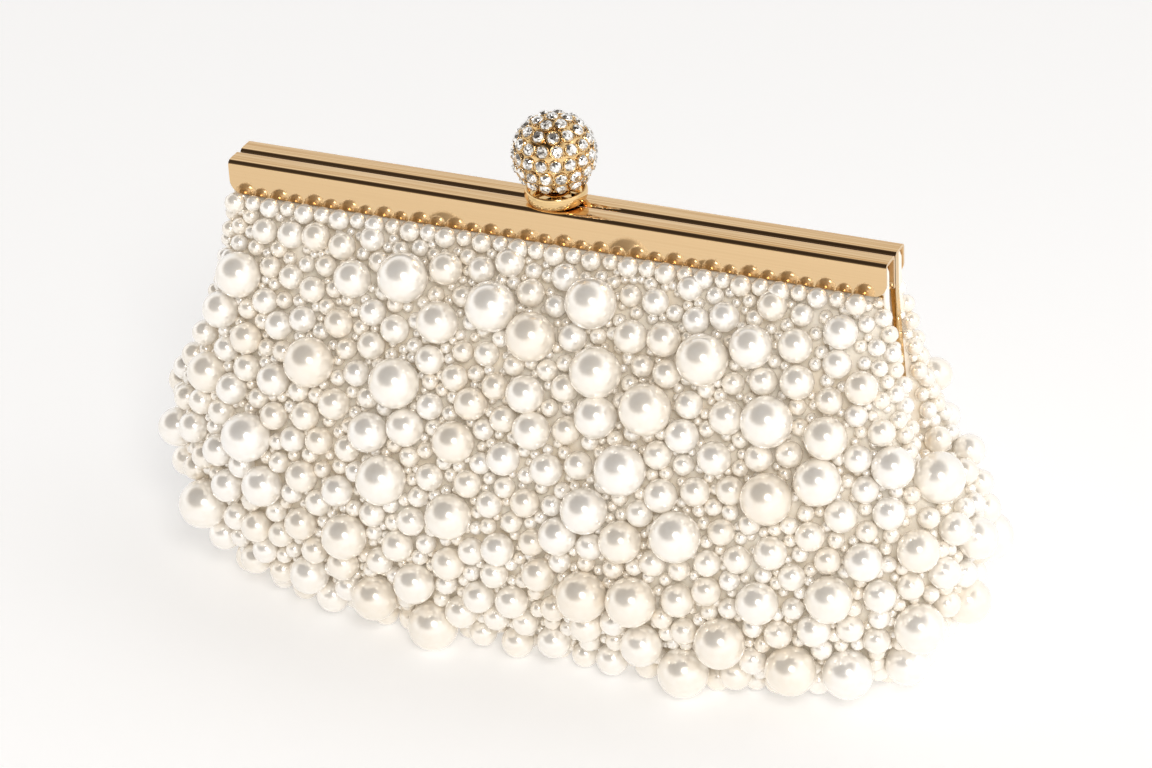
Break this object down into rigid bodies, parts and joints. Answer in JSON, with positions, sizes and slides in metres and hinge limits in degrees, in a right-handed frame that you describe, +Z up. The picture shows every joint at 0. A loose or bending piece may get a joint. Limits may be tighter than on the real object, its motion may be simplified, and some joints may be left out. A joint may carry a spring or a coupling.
{
  "type": "evening bag",
  "caption": "Pearl-covered satin clutch on a hinged two-part metal frame, closed by a stone-set ball clasp that is pressed to open.",
  "frame": {"origin": "on the table, under the middle of the bag", "axes": "+X along the frame towards the bag's right end as seen from the front, -Y is the front, +Z is up"},
  "size_m": [0.2109, 0.078, 0.1302],
  "materials": {
    "pearls": "pearlescent gloss",
    "satin": "satin weave",
    "wadding": "matte",
    "lining": "satin weave",
    "card": "matte card",
    "spring_steel": "brushed",
    "stones": "cut and polished",
    "gold_brass": "polished, pale gold plate"
  },
  "bodies": {
    "pouch": {"pouch_pearls": "pearls", "pouch_satin": "satin", "pouch_wadding": "wadding", "pouch_lining": "lining", "base_board": "card", "hinge_pins": "gold_brass", "hinge_washers": "gold_brass", "side_web_left": "satin", "side_web_right": "satin"},
    "front_half": {"front_rail": "gold_brass", "front_arm_left": "gold_brass", "front_arm_right": "gold_brass", "front_filler": "satin", "front_bindings": "satin", "front_pearls": "pearls", "front_satin": "satin", "front_board": "card", "front_lining": "lining", "front_skirt": "satin", "keeper": "spring_steel", "keeper_rivets": "gold_brass"},
    "back_half": {"back_rail": "gold_brass", "back_arm_left": "gold_brass", "back_arm_right": "gold_brass", "back_filler": "satin", "back_bindings": "satin", "back_pearls": "pearls", "back_satin": "satin", "back_board": "card", "back_lining": "lining", "back_skirt": "satin", "latch_spring": "spring_steel", "latch_rivets": "gold_brass", "clasp_cup": "gold_brass", "cup_rivets": "gold_brass"},
    "clasp_ball": {"ball_shell": "gold_brass", "ball_stones": "stones", "ball_collar": "gold_brass", "ball_stem": "gold_brass", "stem_clip": "spring_steel"}
  },
  "joints": [
    {"name": "front_opens", "type": "hinge", "parent": "pouch", "child": "front_half", "pos_m": [0, 0, 0.053], "axis": [1, 0, 0], "range_deg": [0, 30], "deforming": ["front_skirt", "side_web_left", "side_web_right"]},
    {"name": "back_opens", "type": "hinge", "parent": "pouch", "child": "back_half", "pos_m": [0, 0, 0.053], "axis": [-1, 0, 0], "range_deg": [0, 30], "deforming": ["back_skirt"]},
    {"name": "ball_press", "type": "slide", "parent": "back_half", "child": "clasp_ball", "axis": [0, 0, -1], "range_m": [0, 0.0015], "stiffness_N_per_m": 2500, "springref_m": -0.0006, "deforming": ["latch_spring"]}
  ],
  "couplings": [
    {"joint": "back_opens", "follows": "front_opens", "ratio": 1}
  ]
}
